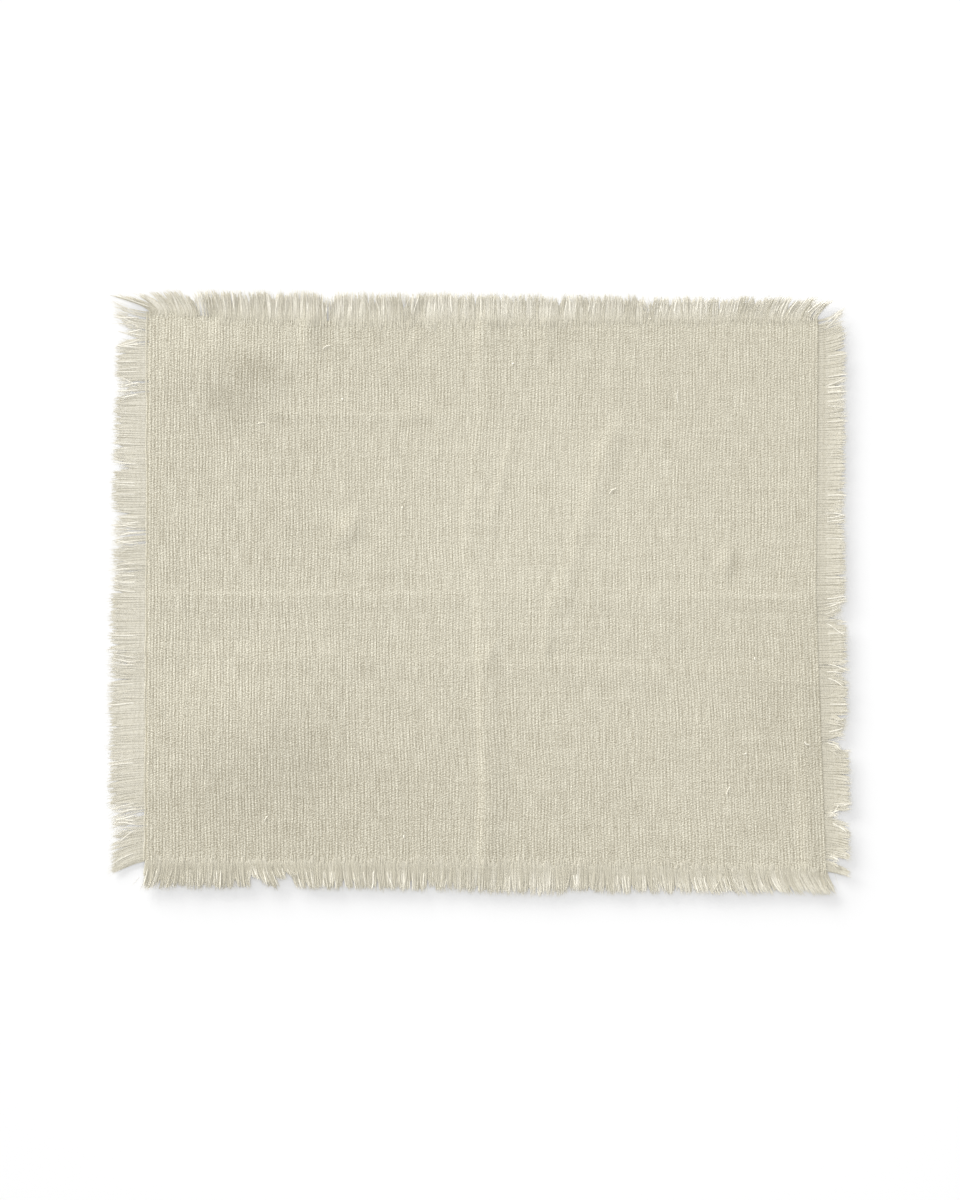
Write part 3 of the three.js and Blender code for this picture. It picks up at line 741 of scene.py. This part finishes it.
def lay_strands(side, locks, random, kind, strands):
    """Strands of one kind, by their roots and tones. Each follows its lock and bends a little of its own."""
    loose = loose_at(side, strands["root_at"])
    there = random.uniform(0, 1, len(loose)) < np.interp(loose, LOOSENESS["at"], kind["often"])
    strands = {name: values[there] for name, values in strands.items()}
    loose = loose[there]
    count = len(loose)
    yarns = YARNS[side]
    root_at = strands["root_at"]
    root_x = side_point(side, root_at, read(OUTLINE[side], root_at, "out"), root_at * 0)[:, 0]
    round_by = yarns["round"] * read(RIBS_FLATTER, root_x, "share") * read(LOOSENESS, loose, "round")
    lock = np.clip(np.searchsorted(locks["breaks"], root_at) - 1, 0, LOCKS[side] - 1)
    strays = random.uniform(0, 1, count) < STRAY_SHARE
    leans = read(LOOSENESS, loose, "leans")
    own_lean = random.normal(0, 1, count) * np.where(strays, kind["strays"], kind["lean"])
    lowest, highest = kind["rest_z"]
    strands |= {
        "lock": lock,
        "lean": leans * (strands["bend"] + own_lean),
        "wave": random.uniform(*WAVES, count) * kind["wave"] * leans,
        "turns": random.uniform(*WAVE_TURNS, count),
        "phase": random.uniform(0, 1, count),
        "root_z": random.uniform(*yarns[kind["root"]], count),
        "rest_z": (lowest + highest) / 2 + random.uniform(-0.5, 0.5, count) * (highest - lowest) * round_by,
        "curl": random.uniform(0, 1, count) ** 2 * kind["curl"] * round_by,
    }
    along = np.linspace(0, 1, kind["steps"])[None, :]
    if "starts" in kind:
        first = kind["starts"]
    else:
        first = -column(random.uniform(*yarns["inside"], count))
    shorter = random.uniform(0, 1, count) * np.ptp(kind["ends"]) * read(LOOSENESS, loose, "ends")
    last = column(kind["ends"][1] - shorter)
    share = first + (last - first) * along
    paths = strand_paths(side, locks, strands, share)
    paths[:, 0, 2] -= DEEPER_START
    thick = column(random.uniform(*THICKNESSES, count)) * read(THICK_ALONG, along, "share")
    high = thick * kind["height"] * column(round_by)
    points, rounded, flat = ribbons(paths, thick * kind["half_width"], high, kind["across"])
    beyond = np.clip(share, 0, 1)
    paler = np.clip(share / PALER_BY, 0, 1) * (1 - yarns["root_tone"]) + yarns["root_tone"]
    lock_tone = locks["tone"][lock] * yarns["contrast"] * read(LOOSENESS, loose, "contrast")
    uneven_tone = column(strands["tone"] + lock_tone + read(LOOSENESS, loose, "paler"))
    full_tone = column(read(FRINGE[side], root_at, "tone")) + yarns["tip_tone"] * beyond**2
    own_tone = uneven_tone * np.clip(share / UNEVEN_BY, LEAST_UNEVEN, 1)
    notes = strand_notes(paths, CLOTH_TONE + (full_tone - CLOTH_TONE) * paler + own_tone, kind["across"])
    return points, rounded, flat, notes


def make_strands(side, locks, random, kind):
    """All strands of one kind along a side, spread over its whole length."""
    start, end = side_ends(side)
    count = LOCKS[side] * kind["per_lock"]
    place = np.arange(count) + 0.5 + random.uniform(-ROOT_STRAYS, ROOT_STRAYS, count)
    root_at = start + (end - start) * place / count
    strands = {"root_at": root_at, "bend": np.zeros(count), "tone": random.uniform(*kind["tone"], count)}
    return lay_strands(side, locks, random, kind, strands)


def make_yarns(side, locks, random):
    """The yarns of a side. Each leaves the cloth as one, and frays into strands that lean with it."""
    start, end = side_ends(side)
    yarns = YARNS[side]
    pitch = (end - start) / yarns["count"]
    middle = start + pitch * (np.arange(yarns["count"]) + 0.5)
    beside = (np.arange(yarns["frays"]) - (yarns["frays"] - 1) / 2) * YARN["apart"]
    root_at = (middle[:, None] + beside).ravel()
    bend = np.repeat(random.normal(0, YARN_BEND, yarns["count"]), yarns["frays"])
    tone = np.repeat(random.uniform(-YARN_TONES, YARN_TONES, yarns["count"]), yarns["frays"])
    tone = tone + random.uniform(-STRAND_TONES, STRAND_TONES, len(tone))
    contrast = yarns["contrast"] * read(LOOSENESS, loose_at(side, root_at), "contrast")
    strands = {"root_at": root_at, "bend": bend, "tone": tone * contrast}
    return lay_strands(side, locks, random, YARN, strands)


def make_edge_yarn(side):
    start, end = side_ends(side)
    seed = SIDES[side]["seed"]
    at = np.linspace(start, end, round((end - start) / EDGE_YARN["step"]))
    out = read(OUTLINE[side], at, "out") + EDGE_YARN["gap"] + EDGE_YARN["half_width"]
    wander = soft_noise(at / EDGE_YARN["wander_long"], EDGE_YARN["wander_row"], seed)
    out = out + EDGE_YARN["wander"] * wander
    edge = side_point(side, at, out, at * 0)
    path = side_point(side, at, out, lift(edge[:, 0], edge[:, 1]) + EDGE_YARN["under_z"])[None]
    uneven = soft_noise(at / EDGE_YARN["uneven_long"], EDGE_YARN["uneven_row"], seed)[None]
    uneven = 1 + EDGE_YARN["uneven"] * uneven
    half_width = uneven * EDGE_YARN["half_width"]
    points, rounded, flat = ribbons(path, half_width, uneven * EDGE_YARN["height"], EDGE_YARN["across"])
    notes = strand_notes(path, np.full((1, len(at)), EDGE_YARN["tone"]), EDGE_YARN["across"])
    return points, rounded, flat, notes


def make_fringe(side, material):
    """The fringe of one side: a mat of flattened yarns, rounder yarns over it, and loose wisps and hairs."""
    random = np.random.default_rng(SIDES[side]["seed"])
    locks = make_locks(side)
    loose = loose_at(side, locks["at"])
    locks["narrows"] = random.uniform(*LOCK_NARROWS, LOCKS[side]) + read(LOOSENESS, loose, "narrows")
    locks["tone"] = random.uniform(-LOCK_TONES, LOCK_TONES, LOCKS[side])
    parts = [make_strands(side, locks, random, kind) for kind in STRAND_KINDS.values()]
    parts.append(make_yarns(side, locks, random))
    if side == EDGE_YARN["side"]:
        parts.append(make_edge_yarn(side))
    points, rounded, flat, notes = join_ribbons(parts)
    return new_piece(f"yarn_fringe_{side}", points, rounded, flat, {"strand": notes}, material)


def make_slubs(material):
    """Thick places and loose ends of yarn that lie on the ribs."""
    along = np.linspace(-1, 1, SLUB["steps"])[None, :]
    x, y, long, turn, bow, half_width = (
        column([slub[key] for slub in SLUBS]) for key in ("x", "y", "long", "turn", "bow", "half_width")
    )
    turn = np.radians(turn)
    ahead = along * long / 2
    aside = bow * (1 - along**2)
    at_x = x + ahead * np.cos(turn) - aside * np.sin(turn)
    at_y = y + ahead * np.sin(turn) + aside * np.cos(turn)
    top = lift(at_x, at_y) + CLOTH_THICK + RIB_HEIGHT
    paths = np.stack([at_x, at_y, top - SLUB["height"] * along**4], axis=-1)
    thick = np.maximum(np.sqrt(1 - along**2), SLUB["thin_end"])
    high = np.broadcast_to(thick * SLUB["height"], at_x.shape)
    points, rounded, flat = ribbons(paths, thick * half_width, high, SLUB["across"])
    notes = strand_notes(paths, np.full(paths.shape[:2], SLUB["tone"]), SLUB["across"])
    return new_piece("slubs", points, rounded, flat, {"strand": notes}, material)


# Materials

CLOTH_FINISH = {"Roughness": 0.9, "Specular IOR Level": 0.25, "Sheen Weight": 0.15, "Sheen Roughness": 0.5}
YARN_FINISH = {"Roughness": 0.85, "Specular IOR Level": 0.3, "Sheen Weight": 0.2, "Sheen Roughness": 0.5}
FLOOR_FINISH = {"Base Color": (0.9, 0.9, 0.9, 1), "Roughness": 0.9, "Specular IOR Level": 0.0}
CLOTH_COLOURS = {"dark": (0.36, 0.325, 0.24, 1), "light": (0.80, 0.765, 0.635, 1)}
YARN_COLOURS = {"dark": (0.55, 0.515, 0.41, 1), "light": (0.885, 0.85, 0.745, 1)}
CLOTH_BUMP = {"Strength": 0.5, "Distance": 0.0005}
YARN_BUMP = {"Strength": 0.25, "Distance": 0.0001}

# Unevenness of the weave, as noise: its cells to a rib and to a millimetre along it, its weight and detail
WEAVE_NOISE = {
    "painted rib shade strength": {"cells": (1 / 1.5, 1 / 13, 0), "weight": 0.62, "detail": 1.0},
    "flecks": {"cells": (2.6, 1 / 0.75, 0), "weight": 1.35, "detail": 0.0},
    "streaks": {"cells": (2.3, 1 / 14, 0), "weight": 0.5, "detail": 0.0},
    "crosswise yarns": {"cells": (1 / 6, 1 / 0.8, 0), "weight": 0.2, "detail": 0.0},
    "crosswise bands": {"cells": (1 / 30, 1 / 2.5, 0), "weight": 0.14, "detail": 0.0},
    "lengthwise bands": {"cells": (1 / 2.5, 1 / 50, 0), "weight": 0.1, "detail": 0.0},
    "fine relief": {"cells": (2.0, 1 / 1.1, 0), "weight": 0.8, "detail": 2.0},
    "coarse relief": {"cells": (1.0, 1 / 4, 0), "weight": 0.5, "detail": 2.0},
}
# How much the crests of the ribs are painted lighter and their valleys darker, as painted light and shade
PAINTED_RIB_SHADE = 0.13
CLOTH_MEAN_TONE = 0.47

# Where yarns cross, the cloth is raised and lowered by turns, from rib to rib and along each
RIBS_TO_A_TURN = 2
CROSSING_RELIEF = 0.12

# Unevenness of the yarns, as noise: its cells over the range of tones, so that strands differ, and to a
# millimetre along them, its weight and detail
FIBRE_NOISE = {"cells": (25, 1 / 1.6, 0), "weight": 0.95, "detail": 2.0}
TWISTS_PER_MM = 1.1


def add_node(tree, kind, inputs=None, **settings):
    """A node with its settings, whose inputs are given values or other nodes' outputs."""
    node = tree.nodes.new(kind)
    for name, value in settings.items():
        setattr(node, name, value)
    for name, value in (inputs or {}).items():
        if isinstance(value, bpy.types.NodeSocket):
            tree.links.new(value, node.inputs[name])
        else:
            node.inputs[name].default_value = value
    return node


def new_material(name, finish):
    material = bpy.data.materials.new(name)
    material.use_nodes = True
    shader = material.node_tree.nodes["Principled BSDF"]
    for socket, value in finish.items():
        shader.inputs[socket].default_value = value
    return material, material.node_tree, shader


def math_node(tree, operation, *inputs, clamp=False):
    """The result of one operation on numbers or other nodes' outputs."""
    return add_node(
        tree, "ShaderNodeMath", dict(enumerate(inputs)), operation=operation, use_clamp=clamp
    ).outputs[0]


def sum_of(tree, terms):
    total = terms[0]
    for term in terms[1:]:
        total = math_node(tree, "ADD", total, term)
    return total


def wave_of(tree, operation, turns, phase=0.0):
    """A sine or cosine that comes round once for each whole turn."""
    return math_node(tree, operation, math_node(tree, "MULTIPLY_ADD", turns, 2 * math.pi, phase))


def stretched_noise(tree, vector, noise):
    """Noise whose cells have a size of their own along each axis, centred on 0 and weighted."""
    placed = add_node(tree, "ShaderNodeVectorMath", {0: vector, 1: noise["cells"]}, operation="MULTIPLY")
    texture = add_node(
        tree, "ShaderNodeTexNoise", {"Vector": placed.outputs[0], "Scale": 1.0, "Detail": noise["detail"]}
    )
    return math_node(tree, "MULTIPLY_ADD", texture.outputs["Fac"], noise["weight"], -noise["weight"] / 2)


def smooth_step(tree, value, places, results):
    """A value that passes smoothly from one result to another between two places."""
    ranges = {"From Min": places[0], "From Max": places[1], "To Min": results[0], "To Max": results[1]}
    return add_node(
        tree, "ShaderNodeMapRange", {"Value": value, **ranges}, interpolation_type="SMOOTHSTEP"
    ).outputs["Result"]


def shade(tree, place, patch):
    """A soft patch of one value, worked out from the place on the cloth in millimetres."""
    size = (1 / patch["half_wide"], 1 / patch["half_high"], 0)
    centre = (-patch["x"] / patch["half_wide"], -patch["y"] / patch["half_high"], 0)
    away = add_node(
        tree, "ShaderNodeVectorMath", {0: place, 1: size, 2: centre}, operation="MULTIPLY_ADD"
    ).outputs[0]
    distance = add_node(tree, "ShaderNodeVectorMath", {0: away}, operation="LENGTH").outputs["Value"]
    return smooth_step(tree, distance, (1.0, 0.0), (0.0, patch["value"]))


def colour_by_tone(tree, shader, tone, colours):
    """Colours a surface from dark at a tone of 0 to light at 1."""
    factor = math_node(tree, "ADD", tone, 0, clamp=True)
    mix = {"Factor": factor, "A": colours["dark"], "B": colours["light"]}
    colour = add_node(tree, "ShaderNodeMix", mix, data_type="RGBA")
    tree.links.new(colour.outputs["Result"], shader.inputs["Base Color"])


def raise_by(tree, shader, relief, bump):
    raised = add_node(tree, "ShaderNodeBump", {"Height": relief, **bump})
    tree.links.new(raised.outputs["Normal"], shader.inputs["Normal"])


def linen_cloth():
    """Ribs with painted shade in their valleys and painted light on their crests, broken by the crosswise
    yarns, in a cloth of uneven yarns.
    """
    material, tree, shader = new_material("linen_cloth", CLOTH_FINISH)
    weave = add_node(tree, "ShaderNodeAttribute", attribute_name="weave").outputs["Vector"]
    parts = add_node(tree, "ShaderNodeSeparateXYZ", {0: weave}).outputs
    rib, y, x = parts["X"], parts["Y"], parts["Z"]
    place = add_node(tree, "ShaderNodeCombineXYZ", {"X": x, "Y": y}).outputs[0]
    noise = {name: stretched_noise(tree, weave, row) for name, row in WEAVE_NOISE.items()}

    # Painted light on the crests of the ribs and painted shade in their valleys, with a strength that noise
    # makes uneven
    crest = wave_of(tree, "COSINE", rib, math.pi)
    strength = math_node(tree, "ADD", noise["painted rib shade strength"], PAINTED_RIB_SHADE)
    fine = sum_of(tree, [math_node(tree, "MULTIPLY", crest, strength), noise["flecks"], noise["streaks"]])
    falling = smooth_step(tree, x, WEAVE_CONTRAST["at"], WEAVE_CONTRAST["value"])
    contrast = math_node(tree, "ADD", shade(tree, place, CALMER_WEAVE), falling)
    tone = sum_of(tree, [
        math_node(tree, "MULTIPLY", fine, contrast),
        noise["crosswise yarns"], noise["crosswise bands"], noise["lengthwise bands"],
        # painted light and shade, in soft patches
        *[shade(tree, place, patch) for patch in PAINTED_LIGHT_AND_SHADE.values()],
    ])
    colour_by_tone(tree, shader, math_node(tree, "ADD", tone, CLOTH_MEAN_TONE), CLOTH_COLOURS)

    over_yarns = wave_of(tree, "SINE", math_node(tree, "MULTIPLY", y, 1 / CROSS_YARN_PITCH))
    over_ribs = wave_of(tree, "SINE", math_node(tree, "MULTIPLY", rib, 1 / RIBS_TO_A_TURN))
    crossings = math_node(tree, "MULTIPLY", over_yarns, over_ribs)
    relief = sum_of(tree, [
        math_node(tree, "MULTIPLY", crossings, CROSSING_RELIEF),
        noise["fine relief"], noise["coarse relief"],
    ])
    raise_by(tree, shader, relief, CLOTH_BUMP)
    return material


def linen_fringe():
    """Loose yarn, uneven in tone along its length, with the ridges of its twist."""
    material, tree, shader = new_material("linen_fringe", YARN_FINISH)
    strand = add_node(tree, "ShaderNodeAttribute", attribute_name="strand").outputs["Vector"]
    parts = add_node(tree, "ShaderNodeSeparateXYZ", {0: strand}).outputs
    own_tone, along, around = parts["X"], parts["Y"], parts["Z"]
    tone = sum_of(tree, [own_tone, stretched_noise(tree, strand, FIBRE_NOISE)])
    colour_by_tone(tree, shader, tone, YARN_COLOURS)
    winding = math_node(tree, "MULTIPLY_ADD", along, TWISTS_PER_MM, around)
    raise_by(tree, shader, wave_of(tree, "SINE", winding), YARN_BUMP)
    return material


# Studio

# Sizes are in metres here. There is a wide floor, even light from all round, a low and broad light from the
# far left, made of suns side by side, and a faint light overhead.
FLOOR_HALF = 40.0
FLOOR_DROP = 0.0001
CAMERA_DISTANCE = 1.3
CAMERA_TILT = math.radians(4.2)
CAMERA_TARGET_Y = -0.0063
CAMERA_LENS = 62.9
SKY_STRENGTH = 0.62
KEY_STRENGTH = 6.5
KEY_ANGLE = math.radians(12)
KEY_RISE = math.radians(7.2)
KEY_FROM = (108, 119, 130, 141, 152)
OVERHEAD_PLACE = Vector((0.0, 0.15, 1.7))
OVERHEAD_SIZE = 1.2
OVERHEAD_POWER = 9.0


def add_floor():
    mesh = bpy.data.meshes.new("floor")
    corners = [(-1, -1), (1, -1), (1, 1), (-1, 1)]
    mesh.from_pydata([(x * FLOOR_HALF, y * FLOOR_HALF, -FLOOR_DROP) for x, y in corners], [], [(0, 1, 2, 3)])
    mesh.materials.append(new_material("pale_floor", FLOOR_FINISH)[0])
    floor = bpy.data.objects.new("floor", mesh)
    bpy.context.scene.collection.objects.link(floor)


def add_light(name, kind, energy, rotation):
    light = bpy.data.lights.new(name, kind)
    light.energy = energy
    lamp = bpy.data.objects.new(name, light)
    lamp.rotation_euler = rotation
    bpy.context.scene.collection.objects.link(lamp)
    return lamp


def add_lights():
    world = bpy.data.worlds.new("studio")
    world.use_nodes = True
    sky = world.node_tree.nodes["Background"]
    sky.inputs["Color"].default_value = (1, 1, 1, 1)
    sky.inputs["Strength"].default_value = SKY_STRENGTH
    bpy.context.scene.world = world
    for turned in KEY_FROM:
        rotation = (0, math.pi / 2 - KEY_RISE, math.radians(turned))
        sun = add_light(f"key {turned}", "SUN", KEY_STRENGTH / len(KEY_FROM), rotation)
        sun.data.angle = KEY_ANGLE
    down = (-OVERHEAD_PLACE).to_track_quat("-Z", "Y").to_euler()
    overhead = add_light("overhead", "AREA", OVERHEAD_POWER, down)
    overhead.location = OVERHEAD_PLACE
    overhead.data.size = OVERHEAD_SIZE


def add_camera():
    data = bpy.data.cameras.new("camera")
    data.lens = CAMERA_LENS
    camera = bpy.data.objects.new("camera", data)
    camera.location = (
        0,
        CAMERA_TARGET_Y - CAMERA_DISTANCE * math.sin(CAMERA_TILT),
        CAMERA_DISTANCE * math.cos(CAMERA_TILT),
    )
    camera.rotation_euler = (CAMERA_TILT, 0, 0)
    bpy.context.scene.collection.objects.link(camera)
    bpy.context.scene.camera = camera


add_camera()
add_lights()
add_floor()
bpy.context.scene.view_settings.view_transform = "Standard"

cloth = make_cloth(linen_cloth())
yarn = linen_fringe()
fringes = {side: make_fringe(side, yarn) for side in SIDES}
slubs = make_slubs(yarn)

to_frame = Matrix.Translation(shift_to_frame())
for piece in (cloth, *fringes.values(), slubs):
    piece.data.transform(to_frame)
    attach(piece, "root")
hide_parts("cloth")
for side, fringe in fringes.items():
    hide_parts(f"fringe_{side}")
